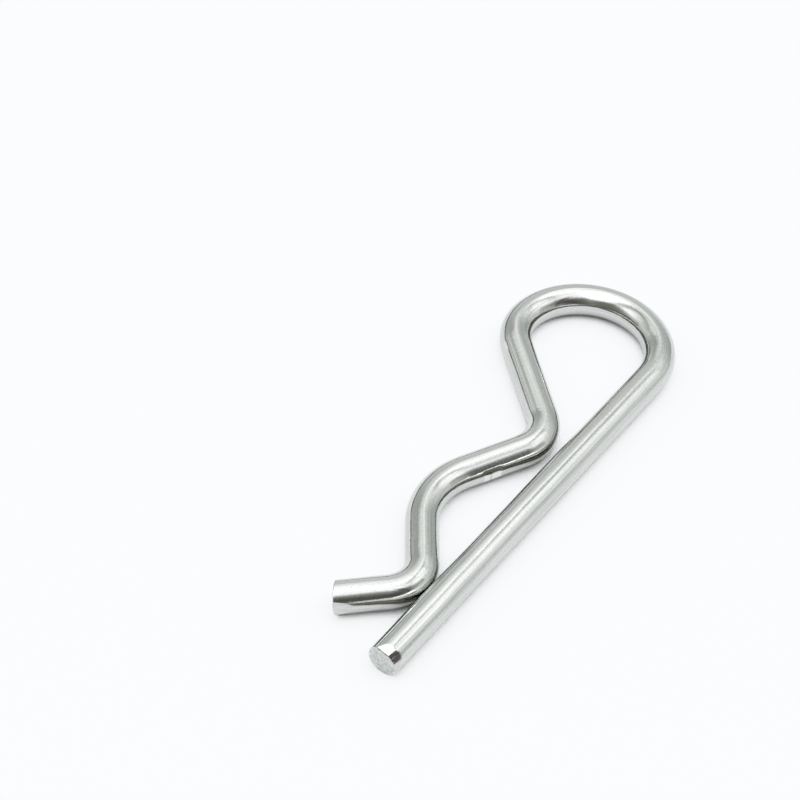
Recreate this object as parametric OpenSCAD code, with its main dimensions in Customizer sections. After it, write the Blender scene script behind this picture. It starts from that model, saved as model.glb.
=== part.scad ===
// Hitch R clip: one length of round spring wire, bent into a straight leg, a loop and a waved arm.
// The leg goes through the cross hole of a shaft. The arm snaps over the outside of the same shaft.
// The clip lies flat. X runs along the leg, from its cut end to the loop, and Y points to the arm.
// The origin is on the axis of the shaft, level with the surface that the clip lies on.

/* [Wire] */
// Diameter of the spring wire
wire_d = 4; // [2:0.1:6]
// Rounding on the rim of a sheared end
rim_round = 0.25; // [0.1:0.05:0.8]
// Length of the flat that the shear blade rolls over at one side of an end
bevel_length = 0.9; // [0.3:0.05:2]
// Depth of that flat at the end of the wire
bevel_depth = 0.7; // [0.2:0.05:1.2]

/* [Shaft and leg] */
// Diameter of the shaft that the clip secures
shaft_d = 16; // [11:0.5:28]
// Radial clearance between the shaft and the arm
seat_clearance = 0.1; // [0:0.05:1]
// From the axis of the shaft to the cut end of the leg
leg_reach = 26; // [20:0.1:60]

/* [Loop] */
// Inside diameter of the loop
loop_inside_d = 14.2; // [8:0.1:30]
// Inside radius of the tighter bend that closes the loop and turns into the throat
throat_inside_r = 5.3; // [2:0.1:12]
// Slope of the straight run that comes down from the loop to the neck
throat_slope = 46.25; // [35:0.05:75]

/* [Neck] */
// Gap between the leg and the arm, between the loop and the shaft
neck_gap = 1.1; // [0.3:0.05:3]
// Inside radius of the bend at the neck
neck_inside_r = 3.7; // [2:0.1:12]
// Slope of the straight run between the neck and the seat
neck_slope = 25.55; // [15:0.05:40]

/* [Pinch and tail] */
// Gap between the leg and the arm at the mouth, which the shaft springs open
pinch_gap = 0.55; // [0.1:0.05:2.5]
// Inside radius of the bend at the pinch
pinch_inside_r = 4.75; // [2:0.05:12]
// Slope of the straight run between the seat and the pinch
pinch_slope = 33.9; // [20:0.05:45]
// Slope of the tail, which guides the shaft into the mouth
tail_slope = 44.2; // [25:0.05:75]
// Straight length of the tail, up to its sheared end
tail_length = 4.7; // [2.5:0.1:20]

/* [Hidden] */
$fn = 64;

// The flat at an end faces up, turned by this angle about the X axis of its own stretch.
leg_bevel_turn = 28;
tail_bevel_turn = -75;

// A bend is drawn longer by this angle at both ends, and then cut square.
spare_angle = 5;

// Radii of the bends, at the wire's centreline
seat_r = centreline_r(shaft_d / 2 + seat_clearance);
loop_r = centreline_r(loop_inside_d / 2);
throat_r = centreline_r(throat_inside_r);
neck_r = centreline_r(neck_inside_r);
pinch_r = centreline_r(pinch_inside_r);

// How far the centreline of the arm stays from that of the leg
neck_low = wire_d + neck_gap;
pinch_low = wire_d + pinch_gap;

// Each straight run is as long as it takes to get from one bend to the next at its own slope.
throat_drop = 2 * loop_r - neck_low - rise(throat_r + neck_r, throat_slope);
neck_climb = seat_r * cos(neck_slope) - neck_low - rise(neck_r, neck_slope);
pinch_drop = seat_r * cos(pinch_slope) - pinch_low - rise(pinch_r, pinch_slope);
throat_run = throat_drop / sin(throat_slope);
neck_run = neck_climb / sin(neck_slope);
pinch_run = pinch_drop / sin(pinch_slope);

// The leg meets the loop under the middle of the loop.
shaft_to_neck = across(seat_r + neck_r, neck_slope) + neck_run * cos(neck_slope);
neck_to_loop = across(throat_r + neck_r, throat_slope) + throat_run * cos(throat_slope);
loop_x = shaft_to_neck + neck_to_loop;
leg_length = leg_reach + loop_x;

function centreline_r(inside_r) = inside_r + wire_d / 2;

// Height and length that a bend takes up while it turns from level to a slope
function rise(bend_r, slope) = bend_r * (1 - cos(slope));
function across(bend_r, slope) = bend_r * sin(slope);

// Each stretch of the wire starts at its own origin, heads along X and carries what follows it.
module straight(length) {
    rotate([0, 90, 0])
        cylinder(h = length, d = wire_d);
    translate([length, 0, 0])
        children();
}

// A bend to the left, cut square where the stretches before and after it begin
module bend_left(bend_r, turn) {
    difference() {
        translate([0, bend_r, 0])
            rotate_extrude(angle = turn + 2 * spare_angle, start = -90 - spare_angle)
                translate([bend_r, 0])
                    circle(d = wire_d);
        mirror([1, 0, 0])
            waste();
        after_bend(bend_r, turn)
            waste();
    }
    after_bend(bend_r, turn)
        children();
}

// A bend to the right is one to the left, seen in a mirror.
module bend_right(bend_r, turn) {
    mirror([0, 1, 0])
        bend_left(bend_r, turn)
            mirror([0, 1, 0])
                children();
}

// Place and heading of the wire at the end of a bend to the left
module after_bend(bend_r, turn) {
    translate([0, bend_r, 0])
        rotate([0, 0, turn])
            translate([0, -bend_r, 0])
                children();
}

// What lies ahead of a square cut
module waste() {
    translate([0, -wire_d, -wire_d])
        cube([wire_d, 2 * wire_d, 2 * wire_d]);
}

// Last straight of the wire, sheared off at its far end
module sheared_straight(length, bevel_turn) {
    difference() {
        rotate([0, 90, 0])
            rotate_extrude()
                half_section(length);
        rotate([bevel_turn, 0, 0])
            bevel_waste(length);
    }
}

// Half of a rod's long section, whose far rim is rounded
module half_section(length) {
    radius = wire_d / 2;
    square([radius, length - rim_round]);
    square([radius - rim_round, length]);
    translate([radius - rim_round, length - rim_round])
        circle(r = rim_round);
}

// What the bevel takes off the top of the far end
module bevel_waste(length) {
    translate([length, 0, wire_d / 2 - bevel_depth])
        rotate([0, atan(bevel_depth / bevel_length), 0])
            translate([-wire_d, -wire_d, 0])
                cube([2 * wire_d, 2 * wire_d, wire_d]);
}

// The leg points back from the foot of the loop, and the arm goes on from there.
module wire_clip() {
    color("silver")
        translate([loop_x, 0, wire_d / 2]) {
            mirror([1, 0, 0])
                sheared_straight(leg_length, leg_bevel_turn);
            bend_left(loop_r, 90)
                bend_left(loop_r, 90)
                    bend_left(throat_r, throat_slope)
                        straight(throat_run)
                            bend_right(neck_r, throat_slope + neck_slope)
                                straight(neck_run)
                                    bend_left(seat_r, neck_slope + pinch_slope)
                                        straight(pinch_run)
                                            bend_right(pinch_r, pinch_slope + tail_slope)
                                                sheared_straight(tail_length, tail_bevel_turn);
        }
}

wire_clip();
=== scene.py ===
# %% [markdown]
# # Hitch R clip pin
# The clip is one length of round spring steel wire, bent flat. A straight leg goes through the hole of a shaft,
# a round loop at the back stores the spring, and a waved arm snaps over the outside of the shaft.
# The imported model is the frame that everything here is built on, so it is loaded first. All sizes are in metres,
# and the file's own box is kept, because the dressed clip has to stay inside it.

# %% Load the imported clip
import math

import bpy
import numpy as np
from mathutils import Matrix, Quaternion, Vector


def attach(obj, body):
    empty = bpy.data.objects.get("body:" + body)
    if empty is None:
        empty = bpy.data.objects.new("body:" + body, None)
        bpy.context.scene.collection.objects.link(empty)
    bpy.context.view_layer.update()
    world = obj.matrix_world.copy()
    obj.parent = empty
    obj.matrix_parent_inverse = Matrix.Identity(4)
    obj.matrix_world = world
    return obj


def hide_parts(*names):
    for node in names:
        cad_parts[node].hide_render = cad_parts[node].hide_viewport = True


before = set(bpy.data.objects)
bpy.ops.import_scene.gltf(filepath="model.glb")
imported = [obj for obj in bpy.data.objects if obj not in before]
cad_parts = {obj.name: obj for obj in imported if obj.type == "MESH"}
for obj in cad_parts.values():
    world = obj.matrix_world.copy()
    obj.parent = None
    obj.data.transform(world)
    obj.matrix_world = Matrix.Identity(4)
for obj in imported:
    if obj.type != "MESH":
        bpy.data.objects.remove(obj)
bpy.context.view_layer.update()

# %% [markdown]
# ## The bends of the wire
# A wire former is set up with a list: feed so much wire, bend it by so much, feed again. The clip is described the
# same way here. Each stretch is either a straight run or a bend of one radius, and each starts where the last one
# ended and in its direction, so the whole line is smooth. The lengths of the straight runs between the bends follow
# from the radii and slopes, so nothing is measured off the mesh. The sizes are those of the solid part, except at the
# pinch: the solid stands half a millimetre off its leg there, so that a sleeve can be slid over the leg in a test.
# A clip at rest comes down to a hair off its leg, with a tighter bend, and its tail is then longer to end in the
# same place.

# %% Sizes of the clip
MM = 0.001
wire_r = 2.0 * MM
leg_reach = 26.0 * MM
seat_r = 10.1 * MM
loop_r = 9.1 * MM
throat_r = 7.3 * MM
neck_r = 5.7 * MM
pinch_r = 4.915 * MM
neck_low = 5.1 * MM
pinch_low = 4.03 * MM
tail_length = 6.90 * MM
throat_slope = math.radians(46.25)
neck_slope = math.radians(25.55)
pinch_slope = math.radians(33.9)
tail_slope = math.radians(44.2)


def rise(radius, slope):
    """How much a bend rises while it turns from level to a slope."""
    return radius * (1 - math.cos(slope))


throat_run = (2 * loop_r - neck_low - rise(throat_r + neck_r, throat_slope)) / math.sin(throat_slope)
neck_run = (seat_r * math.cos(neck_slope) - neck_low - rise(neck_r, neck_slope)) / math.sin(neck_slope)
pinch_run = (seat_r * math.cos(pinch_slope) - pinch_low - rise(pinch_r, pinch_slope)) / math.sin(pinch_slope)
loop_x = (
    (seat_r + neck_r) * math.sin(neck_slope) + neck_run * math.cos(neck_slope)
    + (neck_r + throat_r) * math.sin(throat_slope) + throat_run * math.cos(throat_slope)
)
leg_length = leg_reach + loop_x

# A run has no radius. A positive turn is to the left.
stretches = [
    (leg_length, None, 0.0),
    (loop_r * math.pi, loop_r, 1.0),
    (throat_r * throat_slope, throat_r, 1.0),
    (throat_run, None, 0.0),
    (neck_r * (throat_slope + neck_slope), neck_r, -1.0),
    (neck_run, None, 0.0),
    (seat_r * (neck_slope + pinch_slope), seat_r, 1.0),
    (pinch_run, None, 0.0),
    (pinch_r * (pinch_slope + tail_slope), pinch_r, -1.0),
    (tail_length, None, 0.0),
]
wire_length = sum(length for length, _, _ in stretches)
print(f"wire {wire_length / MM:.1f} mm long in {len(stretches)} stretches")

# %% [markdown]
# ## Walking along the wire
# Blender can bevel a curve into a tube, but then its ends are flat discs. Sweeping our own rings gives full control
# of the two ends and of small marks along the way. The sweep needs one function: given a distance along the wire,
# where is its centre, and which way does it head?

# %% Place and heading at a distance
def walk(distance):
    """Centre and heading of the wire at a distance from the tip of the leg."""
    x, y, heading = -leg_reach, 0.0, 0.0
    for length, radius, turn in stretches:
        step = min(distance, length)
        if radius is None:
            x += step * math.cos(heading)
            y += step * math.sin(heading)
        else:
            after = heading + turn * step / radius
            x += turn * radius * (math.sin(after) - math.sin(heading))
            y -= turn * radius * (math.cos(after) - math.cos(heading))
            heading = after
        distance -= step
        if distance <= 0:
            break
    return x, y, heading


for name, at in (("loop", leg_length), ("tail", wire_length)):
    x, y, heading = walk(at)
    print(f"{name}: {x / MM:.3f}, {y / MM:.3f} mm, heading {math.degrees(heading):.2f} degrees")

# %% [markdown]
# ## The sheared ends
# The wire is cut by a blade that presses in from one side. It drags the skin down before it breaks through, so that
# side of each end is pressed into short slanted facets, and the rest is a rough face that leans a little, because the
# wire gives way. Each end is made from rings that come in from the skin to the middle of the face. A ring is a
# distance back from the tip and a radius, and the facets and the lean then move its points.

# %% Rings of a cut end
rim_round = 0.12 * MM
rim_rings = 8
face_rings = 16
skin_rings = 18
crowding = 1.15  # above 1, the rings of the skin crowd towards the face
lean_run = 2.4 * MM  # how far back from the face the skin leans with it


def end_rings(face_back):
    """Pairs of distance back from the tip and radius, from the skin of the wire to the middle of the face."""
    rings = [(face_back + lean_run * (1 - k / skin_rings) ** crowding, wire_r) for k in range(skin_rings)]
    rings = [ring for ring in rings if ring[0] > face_back + 1.1 * rim_round]
    for k in range(rim_rings):
        angle = math.pi / 2 * k / (rim_rings - 1)
        rings.append((face_back + rim_round * (1 - math.sin(angle)), wire_r - rim_round * (1 - math.cos(angle))))
    face_r = wire_r - rim_round
    rings += [(face_back, face_r * (1 - k / face_rings)) for k in range(1, face_rings)]
    return rings


print("rings in one cut end:", len(end_rings(0.0)))

# %% What the blade does to the rings
lean_fade = 1.5  # above 1, most of the lean is close to the face
least_facing = 0.2  # a flat is worked out only for points that face its side by more than this cosine
fully_sheared = 0.03 * MM  # pressed in by this much, the skin is wholly the mark of the blade
# Each cut: how far its face is set back, the side it leans out to and how far, and the facets of the blade. Each
# facet is the side it faces, its length and its depth at the face. Sides are in degrees as seen along the wire.
leg_cut = (
    0.18 * MM, 105, 0.12 * MM,
    [(103, 0.98 * MM, 0.56 * MM), (136, 1.05 * MM, 0.62 * MM), (161, 0.95 * MM, 0.46 * MM)],
)
tail_cut = (0.86 * MM, 28, 0.66 * MM, [(4, 1.60 * MM, 0.24 * MM)])


def cut(back, radius, angle, blade):
    """Where the blade moves a point of an end ring to, and how much the point is its mark, from 0 to 1."""
    face_back, lean_side, lean, facets = blade
    along = max(back - face_back, 0.0)
    reach = wire_r
    for side, length, depth in facets:
        facing = math.cos(angle - math.radians(side))
        height = wire_r - depth * (1 - along / length)
        if facing > least_facing and reach * facing > height:
            reach = height / facing
    sheared = min((wire_r - reach) / fully_sheared, 1.0)
    share = radius / wire_r
    leaning = lean * math.cos(angle - math.radians(lean_side)) * max(1 - along / lean_run, 0.0) ** lean_fade
    return back - leaning * share, share * reach, sheared


print(len(leg_cut[-1]), "facets on the leg,", len(tail_cut[-1]), "on the tail")

# %% [markdown]
# ## Marks of the tools
# The bending pins grip the wire hard enough to leave small flats on its skin. A flat is made by not letting any point
# reach further out than a plane, over a short stretch with soft ends. The skin is also never quite even: it wanders
# by a few thousandths of a millimetre, which no ruler shows but every reflection does.

# %% Flats of the bending pins
# Each flat: middle along the wire, length, the side it is on (0 is left of the wire's heading, 90 is up), depth, and
# how much the pin has rubbed it pale and matt. The pale part is partly wear and partly a painted highlight.
pin_flats = [
    (117.55 * MM, 2.50 * MM, 15, 0.075 * MM, 0.35),
    (116.98 * MM, 1.30 * MM, -4, 0.110 * MM, 1.00),
    (118.30 * MM, 1.05 * MM, -6, 0.100 * MM, 1.00),
    (93.2 * MM, 1.6 * MM, 150, 0.025 * MM, 0.30),
    (60.4 * MM, 1.8 * MM, 60, 0.018 * MM, 0.20),
    (134.6 * MM, 1.5 * MM, 118, 0.020 * MM, 0.20),
]
flat_fade = 0.12 * MM
fully_pressed = 0.02 * MM


def pin_mark(distance, angle, reach):
    """The reach of a skin point after the bending pins have pressed their flats, and how much it is pressed. That
    amount later makes the point matt and paints it paler, partly as wear and partly as a painted highlight.
    """
    pin_wear_and_glint = 0.0
    for middle, length, side, depth, rub_and_glint in pin_flats:
        inside = min((length / 2 - abs(distance - middle)) / flat_fade, 1.0)
        facing = math.cos(angle - math.radians(side))
        height = wire_r - depth * inside
        if inside > 0 and facing > least_facing and reach * facing > height:
            pin_wear_and_glint = max(pin_wear_and_glint, rub_and_glint * min((reach - height / facing) / fully_pressed, 1.0))
            reach = height / facing
    return reach, pin_wear_and_glint


print(f"{len(pin_flats)} flats, the deepest of {max(flat[3] for flat in pin_flats) / MM:.3f} mm")

# %% Waves of the skin
wave_height = 0.0022 * MM
# Each wave: its share of the height, its turn in radians for each millimetre along the wire, how often it comes round
# the wire, and where it starts.
waves_of_skin = [(1.0, 0.83, 2, 0.0), (0.7, 0.37, -3, 1.3), (0.5, 1.71, 1, 2.1)]


def skin_wave(distance, angle):
    """How far the skin stands off a true circle: a few slow waves along and around the wire, all inwards."""
    along = distance / MM
    return wave_height * sum(
        share * (math.sin(per_mm * along + rounds * angle + start) - 1)
        for share, per_mm, rounds, start in waves_of_skin
    )


deepest = 2 * wave_height * sum(wave[0] for wave in waves_of_skin) / MM
print(f"waves within {deepest:.4f} mm below the true skin")

# %% [markdown]
# ## The mesh of the clip
# The straightened wire is a stack of rings with 80 points each. Rings are 0.22 mm apart, which keeps the shine of
# the bends smooth. The place of each point on the straight wire is kept beside its bent place, because the drawing
# marks were made while the wire was straight, and the finish follows them round every bend. A second value keeps how
# much a bend stretches the skin at that point, because stretched skin turns slightly matt and squeezed skin wrinkles.
# A third keeps the marks of the tools: how much a pin has pressed the point, and how much the blade has sheared it.

# %% Where the rings stand
sides = 80
ring_step = 0.22 * MM
stations = [(back, radius, leg_cut) for back, radius in reversed(end_rings(leg_cut[0]))]
first, last = stations[-1][0], wire_length - end_rings(tail_cut[0])[0][0]
count = int((last - first) / ring_step)
stations += [(first + (last - first) * k / count, wire_r, None) for k in range(1, count)]
stations += [(wire_length - back, radius, tail_cut) for back, radius in end_rings(tail_cut[0])]
print(len(stations), "rings,", count - 1, "of them between the cut ends")

# %% Points of the rings
def strain(distance, out):
    """How much the skin is stretched, as a share of its length. It is negative inside a bend."""
    for length, radius, turn in stretches:
        if distance <= length:
            return 0.0 if radius is None else -turn * out / radius
        distance -= length
    return 0.0


points, straight, stretch, marks = [], [], [], []
for distance, radius, blade in stations:
    for k in range(sides):
        angle = 2 * math.pi * k / sides
        at, pin_wear_and_glint, sheared = distance, 0.0, 0.0
        if blade is None:
            reach, pin_wear_and_glint = pin_mark(distance, angle, radius + skin_wave(distance, angle))
        elif blade is leg_cut:
            at, reach, sheared = cut(distance, radius, angle, blade)
        else:
            at, reach, sheared = cut(wire_length - distance, radius, angle, blade)
            at = wire_length - at
        x, y, heading = walk(at)
        out, up = reach * math.cos(angle), reach * math.sin(angle)
        points.append((x - out * math.sin(heading), y + out * math.cos(heading), wire_r + up))
        straight.append((at, out, up))
        stretch.append(strain(at, out))
        marks.append((pin_wear_and_glint, sheared, 0.0))
print(f"stretched by {max(stretch):.0%} at most outside a bend, squeezed by {-min(stretch):.0%} inside")

# %% Faces between the rings
faces = []
for ring in range(len(stations) - 1):
    for k in range(sides):
        a, b = ring * sides + k, ring * sides + (k + 1) % sides
        faces.append((a, a + sides, b + sides, b))
for ring, at_start in ((0, True), (len(stations) - 1, False)):
    end = leg_cut[0] if at_start else wire_length - tail_cut[0]
    x, y, heading = walk(end)
    points.append((x, y, wire_r))
    straight.append((end, 0.0, 0.0))
    stretch.append(0.0)
    marks.append((0.0, 0.0, 0.0))
    middle = len(points) - 1
    for k in range(sides):
        a, b = ring * sides + k, ring * sides + (k + 1) % sides
        faces.append((middle, a, b) if at_start else (middle, b, a))
print(len(faces), "faces, the last", 2 * sides, "of them round the middles of the cut faces")

# %% Mesh with the values it keeps
mesh = bpy.data.meshes.new("bent_wire")
mesh.from_pydata(points, [], faces)
mesh.validate()
mesh.polygons.foreach_set("use_smooth", [True] * len(mesh.polygons))
drawn = mesh.attributes.new("drawn", "FLOAT_VECTOR", "POINT")
drawn.data.foreach_set("vector", np.array(straight, np.float32).ravel())
stretched = mesh.attributes.new("stretched", "FLOAT", "POINT")
stretched.data.foreach_set("value", np.array(stretch, np.float32))
marked = mesh.attributes.new("marked", "FLOAT_VECTOR", "POINT")
marked.data.foreach_set("vector", np.array(marks, np.float32).ravel())
clip = bpy.data.objects.new("bent_wire", mesh)
bpy.context.scene.collection.objects.link(clip)
print(f"{len(mesh.vertices)} points and {len(mesh.polygons)} faces")

# %% [markdown]
# ## A helper for materials
# Materials are trees of small nodes. One helper adds a node, sets its properties and fills its sockets with values
# or with links from other nodes. A colour is written as an sRGB hex value, as paint and screen colours usually are,
# and Blender works with linear light, so one function turns one into the other.

# %% Nodes and colours
def add_node(tree, kind, inputs=None, **settings):
    """Adds a node, sets its properties, and fills its sockets with values or with links from other nodes."""
    made = tree.nodes.new(kind)
    for name, value in settings.items():
        setattr(made, name, value)
    for socket, value in (inputs or {}).items():
        if isinstance(value, bpy.types.NodeSocket):
            tree.links.new(value, made.inputs[socket])
        else:
            made.inputs[socket].default_value = value
    return made


def colour(code):
    """An sRGB hex value as a linear colour."""
    channels = [int(code[k:k + 2], 16) / 255 for k in (1, 3, 5)]
    linear = [c / 12.92 if c <= 0.04045 else ((c + 0.055) / 1.055) ** 2.4 for c in channels]
    return (*linear, 1.0)


def new_tree(material):
    """Switches a material to nodes and empties its tree."""
    material.use_nodes = True
    material.node_tree.nodes.clear()
    return material.node_tree


print("bright steel in linear light:", [round(c, 3) for c in colour("#DDDFDD")])

# %% [markdown]
# ## Drawn and tumbled spring steel
# The wire is stainless spring steel, pulled through dies to 4 mm and tumbled with stone after bending. Drawing leaves
# fine lines along the wire, tumbling rounds and dimples them, so the skin is bright but every reflection has a
# slightly ragged edge. The patterns are noise on the straightened wire, in millimetres, long along the wire for the
# lines and round for the dimples. Drawn lines are really about 0.02 mm apart. They are drawn at 0.2 mm, because finer
# ones don't show at this distance. Slower ripples and waves bend the longer reflections a little, patches say where
# the clip was scuffed in its box, and the blade leaves coarse stripes on the facets of the cuts.

# %% Patterns on the straight wire
steel = bpy.data.materials.new("drawn_tumbled_spring_steel")
tree = new_tree(steel)


def patterns_on_the_wire(tree, wanted):
    """Noises on the straight wire. Each has its cells per millimetre along, out and up, its detail and roughness."""
    place = add_node(tree, "ShaderNodeAttribute", attribute_name="drawn").outputs["Vector"]
    in_mm = add_node(tree, "ShaderNodeVectorMath", {0: place, "Scale": 1 / MM}, operation="SCALE").outputs["Vector"]
    noises = []
    for per_mm, detail, roughness in wanted:
        scaled = add_node(tree, "ShaderNodeVectorMath", {0: in_mm, 1: per_mm}, operation="MULTIPLY").outputs["Vector"]
        inputs = {"Vector": scaled, "Scale": 1.0, "Detail": detail, "Roughness": roughness}
        noises.append(add_node(tree, "ShaderNodeTexNoise", inputs, noise_dimensions="3D").outputs["Fac"])
    return noises


lines, dimples, ripples, waves, patches, scratches, shear = patterns_on_the_wire(tree, [
    ((0.07, 4.5, 4.5), 4.0, 0.65),  # lines of the die
    ((4.5, 5.5, 5.5), 2.0, 0.6),  # dimples of the stones
    ((2.4, 1.3, 1.3), 3.0, 0.6),  # ripples
    ((0.30, 0.9, 0.9), 2.0, 0.5),  # slow waves
    ((0.25, 0.5, 0.5), 2.0, 0.5),  # patches where the clip was scuffed
    ((0.9, 8.0, 8.0), 2.0, 0.5),  # scratches inside those patches
    ((0.5, 3.4, 3.4), 2.0, 0.5),  # stripes of the blade
])
print("seven patterns on the straight wire")

# %% Where the skin is scuffed, stretched or wrinkled
pull = add_node(tree, "ShaderNodeAttribute", attribute_name="stretched").outputs["Fac"]
# Each mask goes from 0 to 1 between two values of its pattern.
masks = []
for pattern, low, high in (
    (patches, 0.52, 0.66), (scratches, 0.60, 0.70), (dimples, 0.54, 0.78), (lines, 0.35, 0.65),
    (pull, 0.08, 0.40), (pull, -0.10, -0.40),
):
    inputs = {"Value": pattern, "From Min": low, "From Max": high}
    masks.append(add_node(tree, "ShaderNodeMapRange", inputs).outputs["Result"])
scuffed, scratched, pits, streaks, pulled, squeezed = masks
scuffs = add_node(tree, "ShaderNodeMath", {0: scuffed, 1: scratched}, operation="MULTIPLY").outputs["Value"]
worked = add_node(tree, "ShaderNodeMath", {0: pulled, 1: squeezed}, operation="MAXIMUM").outputs["Value"]
marked = add_node(tree, "ShaderNodeAttribute", attribute_name="marked").outputs["Vector"]
marked = add_node(tree, "ShaderNodeSeparateXYZ", {"Vector": marked})
pin_wear_and_glint, sheared = marked.outputs["X"], marked.outputs["Y"]
print("scuffs, stretch, wrinkles, pits, streaks and tool marks are masks from 0 to 1")

# %% [markdown]
# The patterns shape the skin through bump, with heights of a few thousandths of a millimetre, and the stripes of the
# blade are the deepest. A bend roughens the skin like orange peel, so the dimples are twice as deep there. The same
# masks make the skin a little rougher where it was stretched, squeezed, scuffed, pressed or sheared. The pits keep a
# trace of dark drawing soap, which gives the grain, and what a pin has rubbed is paler: partly wear and partly a
# painted highlight.

# %% Skin of the steel
peel = add_node(tree, "ShaderNodeMapRange", {"Value": worked, "To Min": 0.5, "To Max": 1.0}).outputs["Result"]
# Each bump: its pattern, how strongly it shows, its height in millimetres, and whether it goes inwards.
bumps = (
    (waves, 1.0, 0.010, False), (ripples, 1.0, 0.010, False), (lines, 1.0, 0.004, False),
    (shear, sheared, 0.050, False), (dimples, peel, 0.0032, False), (scuffs, 1.0, 0.002, True),
)
skin = {}
for pattern, strength, height, inwards in bumps:
    inputs = {"Height": pattern, "Strength": strength, "Distance": height * MM, **skin}
    skin = {"Normal": add_node(tree, "ShaderNodeBump", inputs, invert=inwards).outputs["Normal"]}
grain = {"Value": lines, "From Min": 0.3, "From Max": 0.7, "To Min": 0.02, "To Max": 0.06}
rough = add_node(tree, "ShaderNodeMapRange", grain).outputs["Result"]
for mask, added in ((worked, 0.04), (scuffs, 0.14), (pin_wear_and_glint, 0.20), (sheared, 0.06)):
    rough = add_node(tree, "ShaderNodeMath", {0: mask, 1: added, 2: rough}, operation="MULTIPLY_ADD").outputs["Value"]
tone = colour("#DDDFDD")
# The pin flats are painted paler: partly wear, partly a painted highlight.
for mask, code in ((streaks, "#C7CAC7"), (pits, "#BDBDB8"), (pin_wear_and_glint, "#F2F4F0")):
    inputs = {"Factor": mask, "A": tone, "B": colour(code)}
    tone = add_node(tree, "ShaderNodeMix", inputs, data_type="RGBA").outputs["Result"]
surface = add_node(tree, "ShaderNodeBsdfPrincipled", {"Base Color": tone, "Metallic": 1.0, "Roughness": rough, **skin})
add_node(tree, "ShaderNodeOutputMaterial", {"Surface": surface.outputs["BSDF"]})
print("nodes in the steel:", len(tree.nodes))

# %% [markdown]
# ## The broken faces
# Where the blade broke through, the steel tore instead of being cut. The torn face is pale grey and mottled, with no
# clear reflection. It is the same metal with a much rougher skin and crumbs of about 0.3 mm across.

# %% Torn steel of the cut faces
torn = bpy.data.materials.new("torn_steel_of_the_cuts")
tree = new_tree(torn)
crumbs, blotches = patterns_on_the_wire(tree, [((3.2, 3.2, 3.2), 4.0, 0.7), ((1.2, 1.2, 1.2), 2.0, 0.5)])
torn_bump = add_node(tree, "ShaderNodeBump", {"Height": crumbs, "Strength": 1.0, "Distance": 0.09 * MM})
torn_rough = {"Value": blotches, "From Min": 0.3, "From Max": 0.7, "To Min": 0.24, "To Max": 0.42}
torn_rough = add_node(tree, "ShaderNodeMapRange", torn_rough).outputs["Result"]
tops = add_node(tree, "ShaderNodeMapRange", {"Value": crumbs, "From Min": 0.35, "From Max": 0.65}).outputs["Result"]
torn_tone = {"Factor": tops, "A": colour("#B6BAB8"), "B": colour("#EDF1EF")}
torn_tone = add_node(tree, "ShaderNodeMix", torn_tone, data_type="RGBA").outputs["Result"]
surface = add_node(
    tree, "ShaderNodeBsdfPrincipled",
    {"Base Color": torn_tone, "Metallic": 1.0, "Roughness": torn_rough, "Normal": torn_bump.outputs["Normal"]},
)
add_node(tree, "ShaderNodeOutputMaterial", {"Surface": surface.outputs["BSDF"]})
print("nodes in the torn steel:", len(tree.nodes))

# %% Which faces are torn
mesh.materials.append(steel)
mesh.materials.append(torn)
face_material = [0] * len(mesh.polygons)
torn_rings = face_rings - 1
for face in range(len(mesh.polygons)):
    ring = face // sides
    if ring < torn_rings or ring >= len(stations) - 1 - torn_rings:
        face_material[face] = 1
mesh.polygons.foreach_set("material_index", face_material)
print("torn faces:", sum(face_material))

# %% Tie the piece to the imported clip
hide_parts("wire_clip")
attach(clip, "root")
print("the dressed clip stands for wire_clip")

# %% [markdown]
# ## Camera
# The clip lies flat and is seen from its open end, from a little more than 40 degrees up, with a long lens, so that
# the leg runs up to the right. The camera is rolled by a few degrees, as a hand holds it.

# %% Camera
eye = Vector((-0.20279, -0.10126, 0.23460))
aim = Vector((0.01166, 0.02305, 0.0))
lens = bpy.data.cameras.new("camera")
lens.sensor_width = 36
lens.lens = 126
camera = bpy.data.objects.new("camera", lens)
bpy.context.scene.collection.objects.link(camera)
camera.location = eye
camera.rotation_mode = "QUATERNION"
roll = Quaternion((0, 0, 1), math.radians(5.982))
camera.rotation_quaternion = (aim - eye).to_track_quat("-Z", "Y") @ roll
bpy.context.scene.camera = camera
print("the camera is", round((aim - eye).length, 3), "m away")

# %% [markdown]
# ## Light
# Polished steel has no colour of its own to show: it shows the room. So the light is drawn as a room of oval cards
# seen from the clip, each with a soft edge. Bright cards are lamps and white boards, and dark cards are the unlit
# parts of the room. Each card is given by where it hangs (the compass angle from straight ahead to the right, and the
# height above the table), its turn, its half sizes at a distance of one, how soft its edge is, and its colour and
# strength. A later card hangs in front of the ones before it. A card whose name starts with low stands upright on
# the horizon. The others are hung with their width level to the right of the camera, as on the inside of a dome.

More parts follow.
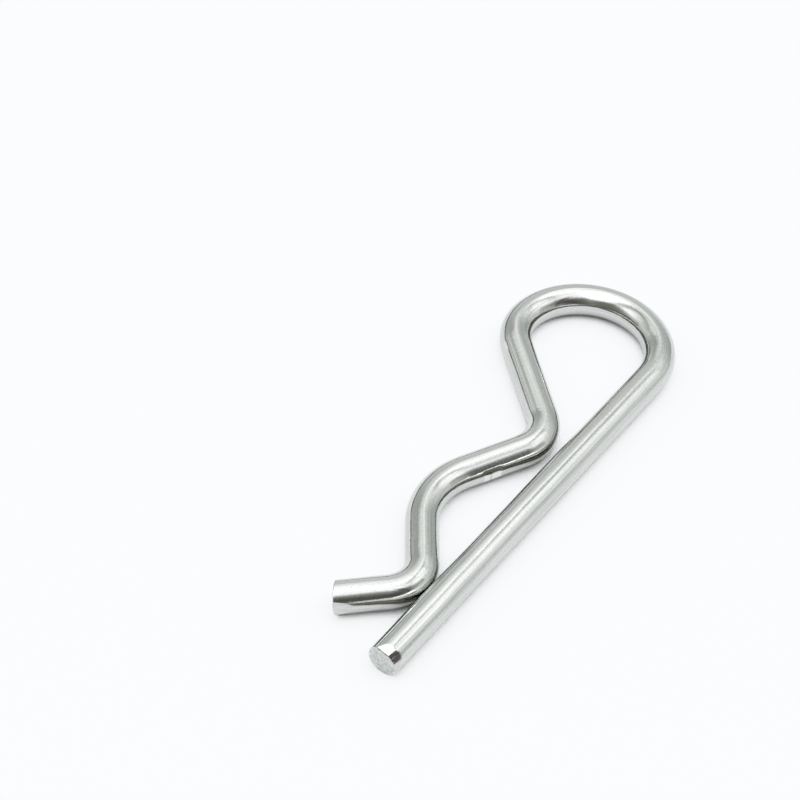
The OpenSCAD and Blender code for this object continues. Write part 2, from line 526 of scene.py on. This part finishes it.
# %% Cards of the room
cards = [
    ("far wall, right part", 51.4, -2.1, 56, 1.167, 0.241, 1.80, "#F8FFFD", 0.53),
    ("low far wall", -50.9, -2.3, -14, 0.750, 0.122, 1.60, "#FBFFFF", 0.66),
    ("far board", -32.5, 36.4, -6, 0.523, 0.157, 0.40, "#FFFEFE", 1.36),
    ("far wall beside the board", -33.4, 42.3, 40, 0.362, 1.342, 1.81, "#FBFFFA", 0.51),
    ("left board", -135.7, 76.8, 0, 1.363, 0.449, 1.27, "#FCFCFF", 1.51),
    ("dark left of the stand", -165.8, 46.8, -25, 0.483, 0.247, 1.57, "#EEF2FF", 0.15),
    ("right board", 29.4, 52.9, -7, 1.250, 0.212, 0.62, "#FEFFFD", 1.05),
    ("edge of the right board", 27.7, 50.4, 2, 0.449, 0.036, 1.90, "#FDFFFA", 0.48),
    ("low left wall", -45.4, 5.2, 6, 1.493, 0.033, 1.75, "#FBFFFD", 0.61),
    ("dark doorway", 148.7, 23.6, 37, 0.807, 0.379, 1.75, "#FFF5F2", 0.11),
    ("far end of the lamp", 28.5, 63.0, 21, 0.147, 0.391, 0.74, "#FFFEFF", 1.56),
    ("right lamp", 73.4, 46.1, 37, 0.180, 0.411, 1.21, "#FFFFFF", 1.43),
    ("overhead lamp", 0, 90, 0, 0.160, 0.160, 0.50, "#FFFEFD", 11.00),
    ("gap left of the lamp", -58.0, 73.9, -24, 0.236, 0.594, 1.26, "#FFFADA", 0.19),
    ("main lamp", -153.8, 72.0, -2, 0.236, 1.156, 1.95, "#FAFCFF", 2.68),
    ("person at the stand", -155.8, 24.7, 5, 0.768, 0.510, 1.59, "#FFFCEE", 0.22),
    ("foot of the doorway", 121.9, 30.4, -43, 0.498, 0.086, 1.49, "#FFFEF2", 0.14),
    ("low dark rail on the left", -34, 0.0, 0, 1.250, 0.115, 0.90, "#FFFAF8", 0.12),
    ("low dark room behind on the left", -127, 4, 0, 1.150, 0.220, 0.60, "#FFF9F4", 0.16),
    ("low right rail", 78.6, 12.4, 0, 0.354, 0.039, 1.42, "#FDFFFD", 0.68),
    ("seam of the lamps", 52.2, 57.7, -68, 0.413, 0.025, 1.52, "#FFFEFD", 0.72),
]
print(len(cards), "cards")

# %% How a card hangs
ahead = (aim - eye).to_2d().normalized().to_3d()
right = Vector((ahead.y, -ahead.x, 0.0))
above = Vector((0.0, 0.0, 1.0))


def card_turn(compass, height, turn, upright):
    """The rotation that brings the axes of the room on to the width, height and direction of a card."""
    compass, height, turn = math.radians(compass), math.radians(height), math.radians(turn)
    level = right * math.sin(compass) + ahead * math.cos(compass)
    middle = level * math.cos(height) + above * math.sin(height)
    if upright:
        high = (above - middle * middle.dot(above)).normalized()
        wide = high.cross(middle)
    else:
        wide = (right - middle * middle.dot(right)).normalized()
        high = middle.cross(wide)
    wide, high = wide * math.cos(turn) + high * math.sin(turn), high * math.cos(turn) - wide * math.sin(turn)
    return Matrix((wide, high, middle)).transposed().to_euler()


print("straight ahead is", [round(c, 3) for c in ahead])

# %% [markdown]
# The world shader asks one question for each card: does this direction fall inside it? The direction is turned into
# the card's own axes and divided by its half sizes, which makes the oval a circle. The angle to the middle then
# says how far in the direction falls, and its cosine goes through one soft step from the outer edge to the inner.
# Behind all cards are two plain walls, a darker one on the camera's side and a lighter one on the far side.

# %% Walls of the room
world = bpy.data.worlds.new("studio")
bpy.context.scene.world = world
tree = new_tree(world)
way = add_node(tree, "ShaderNodeTexCoord").outputs["Generated"]


def lit(code, strength):
    """The linear colour of something that shines with this strength."""
    return (*(c * strength for c in colour(code)[:3]), 1.0)


facing = add_node(tree, "ShaderNodeVectorMath", {0: way, 1: tuple(ahead)}, operation="DOT_PRODUCT").outputs["Value"]
step = {"Value": facing, "From Min": 0.074, "From Max": 0.129}
far_half = add_node(tree, "ShaderNodeMapRange", step, interpolation_type="SMOOTHSTEP").outputs["Result"]
walls = {"Factor": far_half, "A": lit("#FEFFFA", 0.57), "B": lit("#FDFFFE", 0.82)}
room = add_node(tree, "ShaderNodeMix", walls, data_type="RGBA").outputs["Result"]
print("nodes in the bare room:", len(tree.nodes))

# %% Cards in front of the walls
def edge_cosine(size):
    """The cosine of the angle to the edge of a round card of this half size at a distance of one."""
    return 1 / math.sqrt(1 + size * size)


for name, compass, height, turn, half_wide, half_high, soft, code, strength in cards:
    axes = card_turn(compass, height, turn, name.startswith("low"))
    place = {"Vector": way, "Rotation": axes, "Scale": (half_wide, half_high, 1.0)}
    turned = add_node(tree, "ShaderNodeMapping", place, vector_type="TEXTURE").outputs["Vector"]
    unit = add_node(tree, "ShaderNodeVectorMath", {0: turned}, operation="NORMALIZE").outputs["Vector"]
    facing = add_node(tree, "ShaderNodeVectorMath", {0: unit, 1: (0, 0, 1)}, operation="DOT_PRODUCT").outputs["Value"]
    step = {"Value": facing, "From Min": edge_cosine(1 + soft / 2), "From Max": edge_cosine(1 - soft / 2)}
    inside = add_node(tree, "ShaderNodeMapRange", step, interpolation_type="SMOOTHSTEP").outputs["Result"]
    hung = {"Factor": inside, "A": room, "B": lit(code, strength)}
    room = add_node(tree, "ShaderNodeMix", hung, data_type="RGBA").outputs["Result"]
background = add_node(tree, "ShaderNodeBackground", {"Color": room, "Strength": 1.0})
add_node(tree, "ShaderNodeOutputWorld", {"Surface": background.outputs["Background"]})
bpy.context.scene.view_settings.view_transform = "Standard"
print("nodes in the room:", len(tree.nodes))

# %% [markdown]
# ## The table
# The clip lies on a sheet of white card: a matt surface that takes the clip's shadow. In the open its white is mostly
# given straight to the camera and to the steel's reflections, which keeps the background clean. An ambient occlusion
# node measures how much of the room a place of the card sees past the wire. Close to the wire that is little, so
# there the given white falls to nothing and the contact shadow stays dark and narrow.
#
# Where two wires lie close together, the steel mirrors steel that mirrors the card in the gap between them. Hardly
# any lamp reaches into such a gap, and what gets there has gone from steel to steel and turned a little brown. So for
# these deeper reflections the card gives no white of its own, and its matt colour is painted a dim brown. This is
# painted shade with a painted brown tint, and it is given to every ray that reaches the card after two or more
# bounces, not only to those in the gaps.

# %% White card
table_half = 3.0
card_mesh = bpy.data.meshes.new("table_card")
corners = [(table_half * x, table_half * y, 0) for x, y in ((-1, -1), (1, -1), (1, 1), (-1, 1))]
card_mesh.from_pydata(corners, [], [(0, 1, 2, 3)])
table_card = bpy.data.objects.new("table_card", card_mesh)
bpy.context.scene.collection.objects.link(table_card)
print("the card is", 2 * table_half, "m wide")

# %% Where the card is clear of the wire
shelter_reach = 8 * MM
white = bpy.data.materials.new("white_card")
card_mesh.materials.append(white)
tree = new_tree(white)
rays = add_node(tree, "ShaderNodeLightPath").outputs
first_bounce = add_node(tree, "ShaderNodeMath", {0: rays["Ray Depth"], 1: 1.5}, operation="LESS_THAN").outputs["Value"]
shelter = {"Distance": shelter_reach}
shelter = add_node(tree, "ShaderNodeAmbientOcclusion", shelter, samples=6).outputs["AO"]
clear = {"Value": shelter, "From Min": 0.20, "From Max": 0.34}
clear = add_node(tree, "ShaderNodeMapRange", clear).outputs["Result"]
well_clear = {"Value": shelter, "From Min": 0.36, "From Max": 0.70}
well_clear = add_node(tree, "ShaderNodeMapRange", well_clear).outputs["Result"]
print("shelter by the wire is felt within", round(shelter_reach / MM), "mm")

# %% What each kind of ray gets
direct_share = 0.78
direct = add_node(tree, "ShaderNodeMath", {0: rays["Is Camera Ray"], 1: direct_share}, operation="MULTIPLY")
mirrored = {0: rays["Is Glossy Ray"], 1: rays["Is Transmission Ray"]}
mirrored = add_node(tree, "ShaderNodeMath", mirrored, operation="MAXIMUM").outputs["Value"]
for mask in (first_bounce, well_clear):
    mirrored = add_node(tree, "ShaderNodeMath", {0: mirrored, 1: mask}, operation="MULTIPLY").outputs["Value"]
share = {0: direct.outputs["Value"], 1: clear, 2: mirrored}
share = add_node(tree, "ShaderNodeMath", share, operation="MULTIPLY_ADD").outputs["Value"]
# Painted shade: after two or more bounces the card's matt colour is a dim brown instead of white.
matt_tone_and_painted_shade = {"Factor": first_bounce, "A": colour("#B0A69C"), "B": colour("#F2F5F7")}
matt_tone_and_painted_shade = add_node(tree, "ShaderNodeMix", matt_tone_and_painted_shade, data_type="RGBA").outputs["Result"]
matt_card_with_painted_shade = add_node(tree, "ShaderNodeBsdfDiffuse", {"Color": matt_tone_and_painted_shade, "Roughness": 0.5}).outputs["BSDF"]
given_white = {"Color": colour("#FDFEFF"), "Strength": 1.0}
given_white = add_node(tree, "ShaderNodeEmission", given_white).outputs["Emission"]
both = add_node(tree, "ShaderNodeMixShader", {"Fac": share, 1: matt_card_with_painted_shade, 2: given_white})
add_node(tree, "ShaderNodeOutputMaterial", {"Surface": both.outputs["Shader"]})
print("nodes in the white card:", len(tree.nodes))
